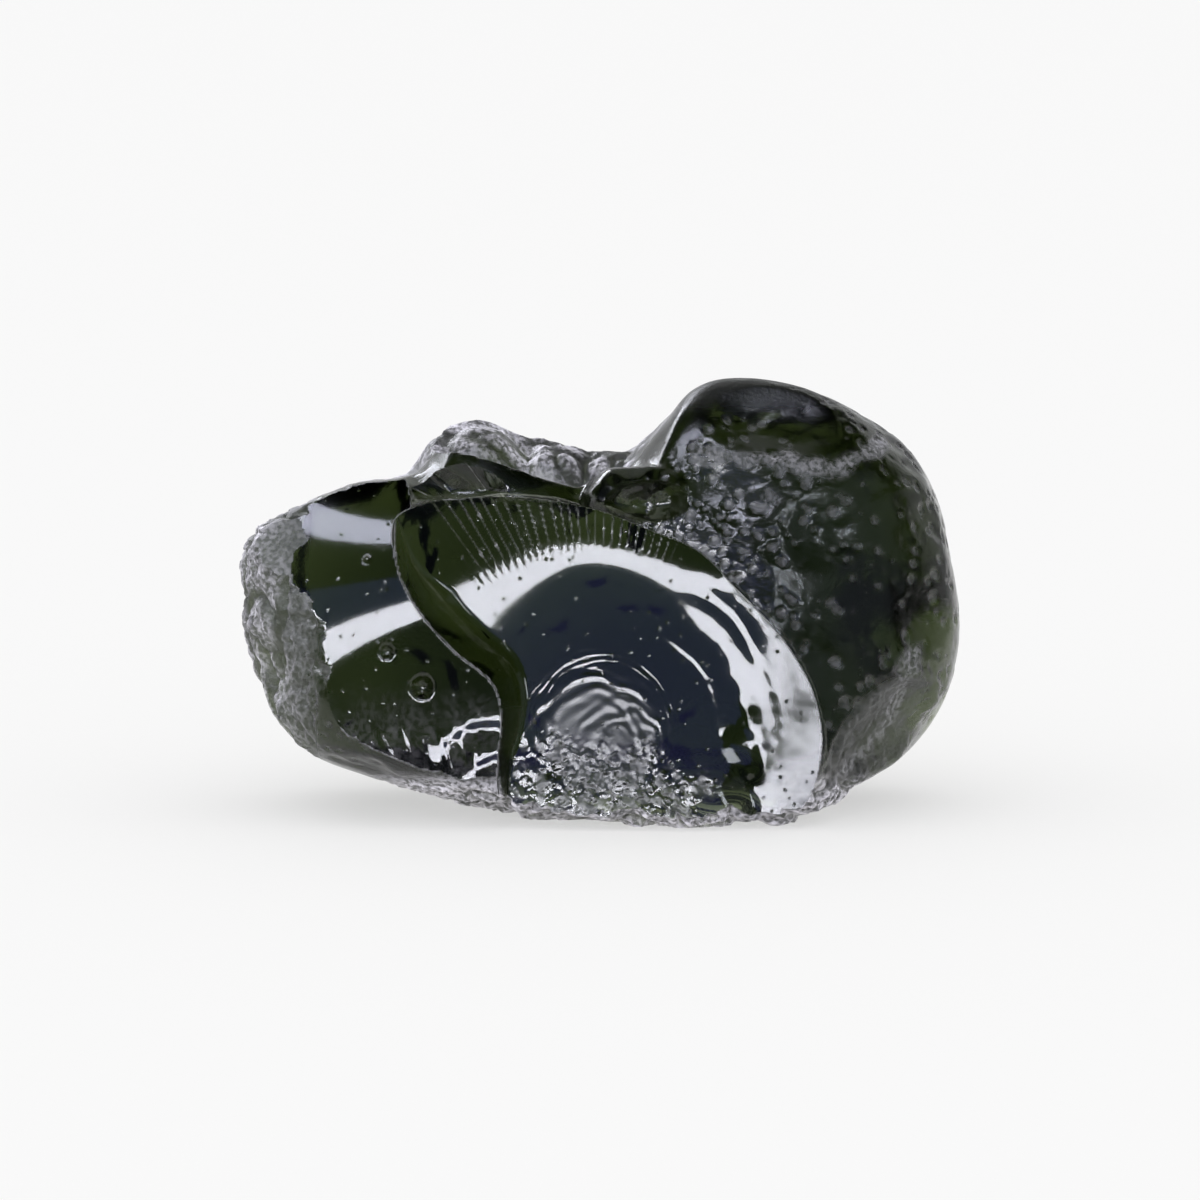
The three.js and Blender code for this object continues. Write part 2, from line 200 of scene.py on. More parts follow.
# points and faces of a ball of radius 1, meshed finer round the directions in the list
def unitBall(subdivisions, fine=()):
    ball = bmesh.new()
    bmesh.ops.create_icosphere(ball, subdivisions=subdivisions, radius=1)
    if fine:
        near = [
            face for face in ball.faces
            if any(face.calc_center_median().normalized() @ Vector(way) > within for way, within in fine)
        ]
        edges = list(dict.fromkeys(edge for face in near for edge in face.edges))  # each once
        bmesh.ops.subdivide_edges(ball, edges=edges, cuts=1, use_grid_fill=True)
        bmesh.ops.triangulate(ball, faces=ball.faces)
    rays = np.array([v.co for v in ball.verts])
    faces = [[v.index for v in f.verts] for f in ball.faces]
    ball.free()
    return rays, faces


def readValues(items, key, width, kind):
    values = np.empty(len(items) * width, kind)
    items.foreach_get(key, values)
    return values


def addValues(mesh, name, values):
    mesh.attributes.new(name, "FLOAT", "POINT").data.foreach_set("value", values.astype(np.float32))


pebble = {
    "outline": [  # x, z seen square on to the broken face, anticlockwise from the right
        (15.0, 0.0), (14.5, 2.8), (13.8, 5.1), (12.7, 6.9), (10.8, 8.2), (8.3, 9.4), (5.4, 9.75), (3.9, 9.3),
        (2.7, 8.0), (1.4, 6.8), (-0.4, 6.75), (-2.9, 7.3), (-5.1, 7.85), (-6.5, 7.25), (-7.7, 5.85),
        (-10.4, 5.35), (-12.5, 4.45), (-14.4, 3.4), (-15.0, 1.95), (-14.9, -0.35), (-14.15, -3.2),
        (-12.6, -5.5), (-9.0, -7.0), (-4.6, -8.2), (0.0, -9.0), (3.75, -9.2), (7.1, -8.7), (10.0, -7.5),
        (12.8, -5.85), (14.3, -3.9), (14.9, -1.8),
    ],
    "outlineSteps": 60,
    "frontSwell": 6.6,
    "backSwell": 6.8,
    "squareness": {"all": 2.5, "upperLeft": 3.6, "lowerBack": 5.0},  # more is blunter
    "blunt": {"left": (0.3, 0.8), "up": (0.05, 0.25), "down": (0, 0.4)},  # how far that way rays point
    "frontLean": 0.45,  # the front swells more below the middle than above it
    "chin": 0.024,  # the lower part is pushed forward by the square of its depth below the middle
    "swing": {"from": 3.0, "curve": 0.01},  # and the right end back by the square of its reach
    "ease": {1: 0.2, -1: 0.01},  # how gently lumps and hollows begin where a ray from the middle grazes them
    "forms": {  # ellipsoids added to the pebble (+) or taken from it (-), in this order
        "back left lobe": {"sign": 1, "at": (-4.6, 2.8, 2.4), "radii": (4.4, 4.9, 4.9), "soft": 1.6},
        "back right shoulder": {"sign": 1, "at": (6.8, 2.6, 2.4), "radii": (7.0, 5.6, 6.2), "soft": 2.2},
        "heel": {"sign": 1, "at": (1.5, 2.6, -3.8), "radii": (9.0, 5.6, 4.8), "soft": 2.2},
        "lower right cheek": {"sign": 1, "at": (7.0, -2.5, -5.5), "radii": (4.0, 4.3, 3.2), "soft": 1.0},
        "trough": {"sign": -1, "at": (-2.7, -1.2, 9.4), "radii": (5.2, 3.4, 4.6), "soft": 1.1, "ease": 0.3},
        "first knob": {"sign": 1, "at": (-5.0, 1.0, 5.5), "radii": (2.3, 2.4, 2.25), "soft": 1.4},
        "second knob": {"sign": 1, "at": (-2.0, 1.3, 5.3), "radii": (1.7, 2.2, 1.75), "soft": 1.1},
        "third knob": {"sign": 1, "at": (0.3, 1.5, 5.0), "radii": (1.6, 2.0, 1.6), "soft": 1.1},
        "green knob": {"sign": 1, "at": (-7.8, -2.0, 4.75), "radii": (1.0, 0.9, 0.9), "soft": 0.2},
        "undercut": {"sign": -1, "at": (-5.9, -4.7, 5.1), "radii": (2.2, 1.9, 0.75), "soft": 0.2},
        "old break": {"sign": -1, "at": (8.2, -5.8, 10.2), "radii": (5.8, 4.5, 4.3), "soft": 0.5},
        "right bump": {"sign": 1, "at": (11.0, -2.3, 4.2), "radii": (1.7, 1.6, 1.2), "soft": 0.9},
        "lip of the cup": {"sign": 1, "at": (1.8, -2.7, 4.55), "radii": (2.9, 2.2, 1.7), "soft": 0.3},
        "right flank": {"sign": -1, "at": (16.2, -4.6, 4.4), "radii": (3.2, 4.0, 2.2), "soft": 0.8},
        "lower right flat": {"sign": -1, "at": (15.7, -6.4, -7.6), "radii": (6.0, 6.0, 6.0), "soft": 0.3},
        "left flank": {"sign": -1, "at": (-16.2, -3.6, -2.6), "radii": (3.2, 3.6, 2.4), "soft": 0.8},
        "back groove": {"sign": -1, "at": (0.6, 11.4, 5.2), "radii": (2.8, 5.2, 6.4), "soft": 1.2},
        "back upper left dish": {"sign": -1, "at": (-11.6, 8.4, 6.6), "radii": (4.6, 5.0, 4.2), "soft": 1.0},
        "back left dish": {"sign": -1, "at": (-9.8, 10.2, -2.8), "radii": (4.6, 5.2, 3.6), "soft": 1.2},
        "back right dish": {"sign": -1, "at": (11.6, 10.0, -1.8), "radii": (4.2, 5.0, 3.4), "soft": 1.2},
    },
    "pits": [  # etch pits: coarse ones spread evenly, then small and tiny ones strewn
        {"count": 84, "least": 0.9, "most": 2.3, "depth": 0.14, "back": 2.4, "round": 2},
        {"count": 700, "least": 0.4, "most": 1.0, "depth": 0.12, "back": 2.2, "round": 2, "seed": 11},
        {
            "count": 6500, "least": 0.16, "most": 0.48, "depth": 0.28, "back": 0.25, "round": 1.5, "seed": 12,
            "ragged": {"much": 0.9, "size": 0.3, "seed": 90}, "fine": True,  # only where the mesh is fine
        },
    ],
    "pitsBehind": {"tip": 0.4, "fade": (0, 0.4)},  # towards the back and below, pits are "back" times as deep
    "pitFloor": (0.01, 0.09),  # from this depth to this one the floors of the tiny pits turn dull
    "wrinkles": {  # folds in the dull skin, from wide to narrow
        "size": (1.1, 0.5, 0.28), "depth": (0.36, 0.17, 0.11), "seeds": (40, 41, 42),
        "sharp": 4, "raised": 0.1, "along": (0.35, 0.3, -0.89), "stretch": 2.6,
        "lowerRight": 0.35, "knobs": 0.5,  # how much of them is there
    },
    "dull": {  # where the skin turns dull and wrinkled
        "left": (-12.4, -11.2), "below": (-7.6, -6.4), "offTheFlat": (0.3, 0.7),
        "knobs": {"x": (1.0, 4.0), "y": (-2.5, -0.5), "z": (3.8, 5.0)},
    },
    "subdivisions": 7,
    "fine": [((0.8, -0.58, 0.15), 0.64), ((-0.93, -0.36, 0.0), 0.84)],  # directions, and cosines round them
    "fineFade": 0.06,
}

outlineCurve = curveThrough(pebble["outline"], pebble["outlineSteps"])
outlineAngles = np.arctan2(outlineCurve[:, 1], outlineCurve[:, 0])
outlineReach = np.hypot(outlineCurve[:, 0], outlineCurve[:, 1])


# where rays from the middle enter and leave an ellipsoid, and how squarely they meet it
def crossings(rays, at, radii):
    at, radii = np.array(at), np.array(radii)
    squared = ((rays / radii) ** 2).sum(-1)
    along = (rays * at / radii**2).sum(-1)
    inside = along**2 - squared * (((at / radii) ** 2).sum() - 1)
    half = np.sqrt(np.maximum(inside, 0))
    return inside > 0, (along - half) / squared, (along + half) / squared, half / np.abs(along)


def pebbleRadius(rays):
    right, back, up = rays.T
    rim = np.interp(np.arctan2(up, right), outlineAngles, outlineReach, period=2 * math.pi)
    swell = np.where(back < 0, pebble["frontSwell"] * (1 - pebble["frontLean"] * up), pebble["backSwell"])
    square, blunt = pebble["squareness"], pebble["blunt"]
    front = mix(square["all"], square["upperLeft"], smooth(*blunt["left"], -right) * smooth(*blunt["up"], up))
    behind = mix(square["all"], square["lowerBack"], smooth(*blunt["down"], -up))
    power = np.where(back < 0, front, behind)
    radius = ((np.hypot(right, up) / rim) ** power + (np.abs(back) / swell) ** power) ** (-1 / power)
    for form in pebble["forms"].values():
        met, enters, leaves, thick = crossings(rays, form["at"], form["radii"])
        if form["sign"] > 0:
            met, shaped = met & (leaves > 0), -softMin(-radius, -leaves, form["soft"])
        else:
            met, shaped = met & (enters > 0), softMin(radius, enters, form["soft"])
        eased = smooth(0, form.get("ease", pebble["ease"][form["sign"]]), thick)
        radius = np.where(met, mix(radius, shaped, eased), radius)
    return radius


def evenRays(count):
    number = np.arange(count)
    up = 1 - (2 * number + 1) / count
    turn = 2 * math.pi * number / goldenRatio
    ring = np.sqrt(1 - up**2)
    return np.stack([ring * np.cos(turn), ring * np.sin(turn), up], -1)


# how deep the etch pits go at each point of the pebble
def pitDepths(points, pits):
    rays = evenRays(pits["count"])
    size = (np.arange(pits["count"]) * goldenRatio**2) % 1
    if "seed" in pits:
        picks = np.random.default_rng(pits["seed"])
        rays = picks.normal(size=rays.shape)
        rays /= np.linalg.norm(rays, axis=1)[:, None]
        size = picks.uniform(size=pits["count"])
    ragged = np.ones(len(points))
    if "ragged" in pits:
        edges = pits["ragged"]
        ragged += edges["much"] * (1 + noise3(points, edges["size"], edges["seed"]))
    centres = rays * pebbleRadius(rays)[:, None]
    behind = smooth(*pebble["pitsBehind"]["fade"], rays[:, 1] - pebble["pitsBehind"]["tip"] * rays[:, 2])
    depths = pits["depth"] * mix(1, pits["back"], behind)
    radii = mix(pits["least"], pits["most"], size**2)
    sunk = np.zeros(len(points))
    for centre, radius, depth in zip(centres, radii, depths):
        near = np.flatnonzero(np.abs(points[:, 0] - centre[0]) < radius)
        share = ((points[near] - centre) ** 2).sum(-1) / radius**2 * ragged[near]
        bowl = depth * radius * np.maximum(0, 1 - share) ** pits["round"]
        sunk[near] = np.maximum(sunk[near], bowl)
    return sunk


# folds that run mostly one way with sharp creases between them: how deep, and how far into the widest creases
def foldDepths(points):
    wrinkles = pebble["wrinkles"]
    along = np.array(wrinkles["along"]) / np.linalg.norm(wrinkles["along"])
    drawn = points - np.outer(points @ along, along) * (1 - 1 / wrinkles["stretch"])
    creases = [
        (1 - np.abs(noise3(drawn, size, seed))) ** wrinkles["sharp"]
        for size, seed in zip(wrinkles["size"], wrinkles["seeds"])
    ]
    folds = sum(depth * (crease - wrinkles["raised"]) for crease, depth in zip(creases, wrinkles["depth"]))
    return folds, creases[0]


# the dull parts of the skin: the left end, the underside, the flat low on the right, and the knobs
def dullParts(points):
    x, y, z = points.T
    dull = pebble["dull"]
    left = 1 - smooth(*dull["left"], x)
    below = 1 - smooth(*dull["below"], z)
    flat = pebble["forms"]["lower right flat"]
    offTheFlat = np.linalg.norm(points - flat["at"], axis=1) - flat["radii"][0]
    lowerRight = 1 - smooth(*dull["offTheFlat"], offTheFlat)
    area = dull["knobs"]
    knobs = smooth(*area["y"], y) * smooth(*area["z"], z) * (1 - smooth(*area["x"], x))
    return left, below, lowerRight, knobs


def makeSkin():
    rays, faces = unitBall(pebble["subdivisions"], pebble["fine"])
    rays /= np.linalg.norm(rays, axis=1)[:, None]
    points = rays * pebbleRadius(rays)[:, None]
    meshedFine = np.max([
        smooth(within, within + pebble["fineFade"], rays @ way) for way, within in pebble["fine"]
    ], axis=0)
    sunk = np.zeros(len(points))
    for pits in pebble["pits"]:
        depths = pitDepths(points, pits) * (meshedFine if "fine" in pits else 1)
        sunk += depths
    floors = smooth(*pebble["pitFloor"], depths)  # of the last and smallest pits
    left, below, lowerRight, knobs = dullParts(points)
    folds, creases = foldDepths(points)
    wrinkles = pebble["wrinkles"]
    sunk += folds * np.maximum.reduce([
        left, below, wrinkles["lowerRight"] * lowerRight, wrinkles["knobs"] * knobs,
    ])
    points -= rays * sunk[:, None]
    points[:, 1] -= pebble["chin"] * np.minimum(points[:, 2], 0) ** 2
    points[:, 1] += pebble["swing"]["curve"] * np.maximum(points[:, 0] - pebble["swing"]["from"], 0) ** 2
    skin = newObject("skin", points, faces)
    addValues(skin.data, "floors", floors)
    addValues(skin.data, "creases", creases)
    return skin


leftFacet = {
    "rim": [
        (-8.3, 5.9), (-10.4, 6.4), (-14.2, 5.4), (-15.8, 1.0), (-14.4, -4.4), (-11.4, -7.4), (-7.0, -8.4),
        (-2.0, -8.2), (-1.4, -5.6), (-3.2, -2.6), (-5.2, -0.6), (-6.8, 1.4), (-7.6, 3.0), (-7.7, 3.9),
    ],
    "middle": (-9.6, -0.4),
    "depth": -4.75,
    "tiltAcross": -0.13,
    "crest": {"height": 1.23, "slope": 0.17},
    "crestTilt": 0.36,
    "footTilt": 0.06,
    "bend": {"middle": 0.1, "grows": 0.014, "least": 0.06, "most": 0.16},
    "chip": {
        "middle": (-4.2, -7.4),
        "rings": [(2.85, 0.2, 0.28), (1.45, 0.18, 0.28)],  # distance, half width and slope
        "uneven": [(0.12, 0.6, 60)],
    },
    "bubbles": [(-8.75, -1.6, 0.36), (-7.3, -3.05, 0.55), (-9.6, 2.2, 0.18)],  # x, z and radius of burst ones
    "bubbleBowl": {"depth": 0.7, "round": 1.3},
    "streaked": {
        "fade": (3.2, 5.6),  # below the middle
        "height": 0.03,
        "fineShare": 0.5,
        "coarse": {"across": 3.2, "slant": 0.8, "along": 0.8, "seed": 61},
        "fine": {"across": 6, "slant": 1, "along": 2, "seed": 62},
    },
    "step": 0.085,
}


# streaks that run down the foot of the left facet
def streaks(x, z, grain):
    return noise(grain["across"] * x + grain["slant"] * z, grain["along"] * z, 1.0, grain["seed"])


def leftFloor(x, z):
    f = leftFacet
    right = x - f["middle"][0]
    bend = np.clip(f["bend"]["middle"] + f["bend"]["grows"] * right, f["bend"]["least"], f["bend"]["most"])
    up = z - f["crest"]["height"] - f["crest"]["slope"] * right
    bent = np.maximum(up, (f["footTilt"] - f["crestTilt"]) / bend)
    rolled = f["crestTilt"] * bent + 0.5 * bend * bent**2 + f["footTilt"] * (up - bent)
    floor = f["depth"] + f["tiltAcross"] * right + rolled
    chip, bowl, streaked = f["chip"], f["bubbleBowl"], f["streaked"]
    reach = uneven(np.hypot(x - chip["middle"][0], z - chip["middle"][1]), x, z, chip["uneven"])
    rings = (slope * wide * (np.tanh((reach - at) / wide) - 1) for at, wide, slope in chip["rings"])
    floor = floor + sum(rings)
    for across, high, radius in f["bubbles"]:
        share = ((x - across) ** 2 + (z - high) ** 2) / radius**2
        floor = floor + bowl["depth"] * radius * np.maximum(0, 1 - share) ** bowl["round"]
    lines = streaks(x, z, streaked["coarse"]) + streaked["fineShare"] * streaks(x, z, streaked["fine"])
    return floor + streaked["height"] * lines * smooth(*streaked["fade"], -z)


bladeEdge = [
    (-8.46, 3.83), (-8.33, 1.75), (-7.5, 0.08), (-6.04, -1.58),
    (-4.4, -3.0), (-4.05, -4.4), (-4.2, -6.0), (-4.0, -8.0),
]
bladeCurve = curveThrough(bladeEdge, lineSteps, closed=False)

mainFracture = {
    "rim": bladeEdge + [
        (-2.2, -9.3), (2.0, -9.7), (5.5, -9.4), (8.2, -8.2), (9.1, -5.6), (8.8, -3.4), (7.6, -1.2),
        (5.7, 0.9), (4.1, 2.5), (2.3, 3.3), (0.0, 4.2), (-2.6, 4.7), (-5.2, 4.75), (-7.2, 4.5),
    ],
    "blow": (0.1, -5.2),  # where the break started
    "depth": -5.2,
    "floorTilt": 0.27,
    "floorTiltAcross": {"left": -0.12, "right": -0.04, "between": (-4, 4)},
    "ringRadius": {"top": 6.83, "left": 5.4, "right": 5.9},  # beyond it the shell curls up to its rim
    "ringCurve": {"top": 0.135, "left": 0.08, "right": 0.12},
    "ringSlope": {"top": 0.24, "left": 0.36, "right": 0.3},  # steepest curl
    "sides": {"left": (95, 136), "right": (50, 98)},  # degrees round the blow where the top ends
    "steps": [  # terraces on the right: distance from the blow, half width and slope
        (4.87, 0.07, 0.17), (6.35, 0.34, 0.15), (7.3, 0.12, 0.2), (8.3, 0.45, 0.16),
    ],
    "stepsUneven": [(0.1, 1.3, 1), (0.03, 0.3, 2)],
    "stepsBetween": {"low": (-25, 5), "high": (48, 66)},  # degrees
    "heel": {
        "from": 4.4, "to": 6.9, "top": -1.2, "curve": 0.06, "most": 0.145, "uneven": [(0.3, 0.9, 8)],
    },
    "ripples": [  # packets of rings round the blow
        {"middle": (0.12, -4.67), "at": 2.8, "spacing": 0.25, "wide": 0.3, "slope": 0.3, "waver": 0.07},
        {"middle": (-0.3, -5.3), "at": 2.2, "spacing": 0.62, "wide": 0.8, "slope": 0.17, "waver": 0.3},
        {"middle": (0.9, -5.6), "at": 1.5, "spacing": 0.55, "wide": 0.8, "slope": 0.16, "waver": 0.35},
    ],
    "rippled": {
        "waverSize": 0.7, "waverSeed": 20, "patchSize": 0.5, "patchSeed": 30, "strength": (0.75, 0.5),
        "fade": (-1.6, 0.2),
    },
    "crushed": {
        "middle": (0.2, -7.1), "radii": (4.4, 2.3), "facets": [(0.5, 0.15), (0.22, 0.17)],  # size and tilt
        "ragged": [(0.3, 0.9, 10), (0.15, 0.4, 11)], "fade": (0.55, 1.05), "seed": 50,
    },
    "flaked": {"between": (6.2, 8.0), "height": 0.005, "size": 0.4},
    "hackles": {  # fine steps that run out from the blow to the top rim
        "between": (7.5, 8.7), "spacing": 0.04, "height": 0.04, "angles": (66, 74, 124, 130),
        "waver": (0.35, 6.0), "strength": (0.65, 0.35), "strengthSize": 0.7, "apart": 7.3,
    },
    "bladeWidth": [(0, 0.15), (0.12, 0.9), (0.3, 1.75), (0.55, 1.6), (0.75, 1.0), (1, 0.25)],
    "bladeCurl": 1.9,
    "step": 0.07,
}


# how far up the blade a place is: 1 on its edge, 0 at its foot and beyond
def bladeRise(x, z):
    nearest, along = nearCurve(x, z, bladeCurve)
    width = np.interp(along, *zip(*mainFracture["bladeWidth"]))
    return np.maximum(0, 1 - nearest / width) ** mainFracture["bladeCurl"]


# distance from the blow, and the angle round it in degrees
def roundBlow(x, z):
    right, up = x - mainFracture["blow"][0], z - mainFracture["blow"][1]
    angle = np.degrees(np.arctan2(up, right))
    return np.maximum(np.hypot(right, up), 1e-6), np.where(angle < -90, angle + 360, angle)


# a count of the hackle lines and how strong they are
def hackleLines(x, z):
    hackles = mainFracture["hackles"]
    reach, angle = roundBlow(x, z)
    low, full, last, high = hackles["angles"]
    waver, waverSize = hackles["waver"]
    number = np.radians(angle) / hackles["spacing"] + waver * noise(angle, reach, waverSize, seed=6)
    rise = smooth(*hackles["between"], reach) * smooth(low, full, angle) * (1 - smooth(last, high, angle))
    even, change = hackles["strength"]
    lengths = noise(np.floor(number) * hackles["apart"], reach, hackles["strengthSize"], seed=7)
    return number, rise * (even + change * lengths)


def crushedShare(x, z):
    crushed = mainFracture["crushed"]
    middle, radii = crushed["middle"], crushed["radii"]
    away = np.hypot((x - middle[0]) / radii[0], (z - middle[1]) / radii[1])
    return 1 - smooth(*crushed["fade"], away + uneven(0, x, z, crushed["ragged"]))


def mainFloor(x, z):
    f = mainFracture
    reach, angle = roundBlow(x, z)
    leftwards, rightwards = smooth(*f["sides"]["left"], angle), 1 - smooth(*f["sides"]["right"], angle)
    radius, curve, steepest = (
        mix(mix(f[key]["top"], f[key]["left"], leftwards), f[key]["right"], rightwards)
        for key in ("ringRadius", "ringCurve", "ringSlope")
    )
    beyond = np.maximum(0, reach - radius)
    curled = np.minimum(beyond, steepest / curve)
    ring = 0.5 * curve * curled**2 + steepest * (beyond - curled)
    wavering = uneven(reach, x, z, f["stepsUneven"])
    steps = sum(slope * wide * (1 + np.tanh((wavering - at) / wide)) for at, wide, slope in f["steps"])
    between = f["stepsBetween"]
    terraced = (1 - smooth(*between["high"], angle)) * smooth(*between["low"], angle)
    floor = f["depth"] + f["floorTilt"] * (z - f["blow"][1]) - mix(ring, steps, terraced)
    across = f["floorTiltAcross"]
    floor = floor + mix(across["left"], across["right"], smooth(*across["between"], x)) * x
    heel = f["heel"]
    drop = np.maximum(0, heel["top"] - z)
    bent = np.minimum(drop, heel["most"] / heel["curve"])
    heelRise = 0.5 * heel["curve"] * bent**2 + heel["most"] * (drop - bent)
    floor = floor + heelRise * smooth(heel["from"], heel["to"], uneven(x, x, z, heel["uneven"]))

    rippled = f["rippled"]
    even, change = rippled["strength"]
    for order, ripple in enumerate(f["ripples"]):
        right, up = x - ripple["middle"][0], z - ripple["middle"][1]
        out = np.hypot(right, up) - ripple["at"]
        out = uneven(out, x, z, [(ripple["waver"], rippled["waverSize"], rippled["waverSeed"] + order)])
        wave = np.sin(2 * math.pi * out / ripple["spacing"]) * np.exp(-((out / ripple["wide"]) ** 2))
        height = ripple["slope"] * ripple["spacing"] / (2 * math.pi)
        strength = height * (even + change * noise(x, z, rippled["patchSize"], rippled["patchSeed"] + order))
        floor = floor + strength * wave * smooth(*rippled["fade"], up)

    crushed = f["crushed"]
    for order, (size, tilt) in enumerate(crushed["facets"]):
        floor = floor + facets(x, z, size, tilt, crushed["seed"] + order) * crushedShare(x, z)
    flaked = f["flaked"]
    floor = floor + flaked["height"] * noise(x, z, flaked["size"], seed=5) * smooth(*flaked["between"], x)

    number, rise = hackleLines(x, z)
    floor = floor - f["hackles"]["height"] * (number % 1) * rise
    return mix(floor, np.minimum(floor, leftFloor(x, z)), bladeRise(x, z))


cutting = {"reach": -16.0, "rimSteps": 12, "margin": 0.3}  # the cutting solids start at this y, in front


# a solid that holds everything in front of a fracture surface, out to its rim
def makeCutter(name, fracture, floorOf):
    rim = curveThrough(fracture["rim"], cutting["rimSteps"])
    low, high = rim.min(0) - cutting["margin"], rim.max(0) + cutting["margin"]
    xs = np.arange(low[0], high[0], fracture["step"])
    zs = np.arange(low[1], high[1], fracture["step"])
    x, z = (grid.ravel() for grid in np.meshgrid(xs, zs))
    points = np.stack([x, floorOf(x, z), z], -1)
    number = np.arange(len(points)).reshape(len(zs), len(xs))
    quads = np.stack([number[:-1, :-1], number[1:, :-1], number[1:, 1:], number[:-1, 1:]], -1).reshape(-1, 4)
    border = np.concatenate([number[0, :-1], number[:-1, -1], number[-1, :0:-1], number[:0:-1, 0]])
    front = len(points) + np.arange(len(border))
    points = np.vstack([points, np.stack([x[border], np.full(len(border), cutting["reach"]), z[border]], -1)])
    sides = np.stack([border, np.roll(border, -1), np.roll(front, -1), front], -1)
    slab = newObject(name, points, quads.tolist() + sides.tolist() + [front.tolist()])
    edge, wall = np.arange(len(rim)), len(rim)
    ends = [np.insert(rim, 1, depth, 1) for depth in (2 * cutting["reach"], -cutting["reach"])]
    walls = np.stack([edge, np.roll(edge, -1), np.roll(edge, -1) + wall, edge + wall], -1)
    caps = [edge.tolist(), (edge[::-1] + wall).tolist()]
    prism = newObject(name + " rim", np.vstack(ends), caps + walls.tolist())
    for piece in (slab, prism):
        faceOut(piece)
    return combine(slab, prism, "INTERSECT")


cup = {
    "at": (1.95, -5.5, 4.6), "radii": (2.1, 2.2, 1.05), "rough": 0.12,
    "lumps": (0.5, 0.22), "fineShare": 0.5, "seed": 80, "subdivisions": 5,
}


# the round cup in the top rim is a rough ball taken out of the lip
def makeCup():
    rays, faces = unitBall(cup["subdivisions"])
    points = rays * cup["radii"]
    coarse, fine = (noise3(points, size, cup["seed"] + order) for order, size in enumerate(cup["lumps"]))
    points += rays * cup["rough"] * (coarse + cup["fineShare"] * fine)[:, None]
    made = newObject("cup", points + cup["at"], faces)
    faceOut(made)
    return made


# everything under the resting plane, which is level once the face leans back
def makeGround():
    side = 30
    square = ((-side, -side), (side, -side), (side, side), (-side, side))
    corners = np.array([(x, y, z) for z in (-2 * side, -stance["height"]) for x, y in square], float)
    lean = stance["lean"]
    y, z = corners[:, 1].copy(), corners[:, 2].copy()
    corners[:, 1] = y * math.cos(lean) - z * math.sin(lean)
    corners[:, 2] = y * math.sin(lean) + z * math.cos(lean)
    faces = [(0, 1, 2, 3), (4, 5, 6, 7), (0, 1, 5, 4), (1, 2, 6, 5), (2, 3, 7, 6), (3, 0, 4, 7)]
    ground = newObject("ground", corners, faces)
    faceOut(ground)
    return ground


def inFrame(points):
    lean = stance["lean"]
    x, y, z = points.T
    return mm * np.stack([
        x,
        y * math.cos(lean) + z * math.sin(lean) + stance["behind"],
        z * math.cos(lean) - y * math.sin(lean) + stance["height"],
    ], -1)


def markFaces(piece, value):
    fresh = piece.data.attributes.get("fresh") or piece.data.attributes.new("fresh", "FLOAT", "FACE")
    fresh.data.foreach_set("value", np.full(len(piece.data.polygons), value, np.float32))


weathering = {
    "frost": {  # how dull, from 0 to 1
        "lowerRight": 0.8, "knobs": 0.6, "floors": 0.6, "peak": 0.7,  # on the skin
        "crushed": 0.7, "tail": 0.6, "flaked": 0.3, "blow": 0.4, "chippedAndHighlightedRims": 0.8,  # on the breaks
    },
    "dustAndPaintedLight": {  # and how dusty; this sheen also holds painted light: pale highlight lines along the ledge and the sharp rims, and painted shade where it is taken out of the creases
        "strip": 0.38, "below": 0.6, "lowerRight": 0.06, "knobs": 0.42, "worn": 0.24, "floors": 0.08,
        "streaks": 0.09, "chippedAndHighlightedRims": 0.25,
    },
    "touch": 0.01,  # points this near a fracture surface are on it
    "facetEnd": {"at": -12.4, "uneven": [(0.5, 0.6, 14)]},  # left of it the left facet is worn like the skin
    "hackleEdge": (0.34, 0.46),
    "crushedPatches": {"size": 0.35, "fade": (-0.3, 0.6)},
    "tail": {"rise": (0.02, 0.1), "fade": (3.6, 4.0)},  # of the blade, mm below the middle
    "blow": (1.8, 2.8),  # the haze round the blow ends here
    "wornEdges": [  # in the skin; worn ridges, and along the ledge the pale band is partly a painted highlight
        [(4.2, 6.5), (7.2, 6.35), (9.4, 5.95), (12.3, 7.3)],
        [(12.9, -1.7), (11.8, -4.6), (9.6, -6.9)],
    ],
    "wornUneven": [(0.2, 0.6, 12)],
    "wornWidth": 0.55,
    "streaks": {"even": 0.6, "change": 0.6, "fade": (2.6, 5.0)},
    # the creases share takes dust out of the wrinkle creases: painted shade that makes them dark
    "mottledWithCreaseShade": {"coarse": 0.7, "fine": 0.28, "much": 0.4, "creases": 0.9, "creaseShadeFade": (0.15, 0.5)},
    "strip": {"between": (-14.0, -12.4), "less": 0.6},  # less dust away from the left end
    "peak": (8.0, 9.2),
}
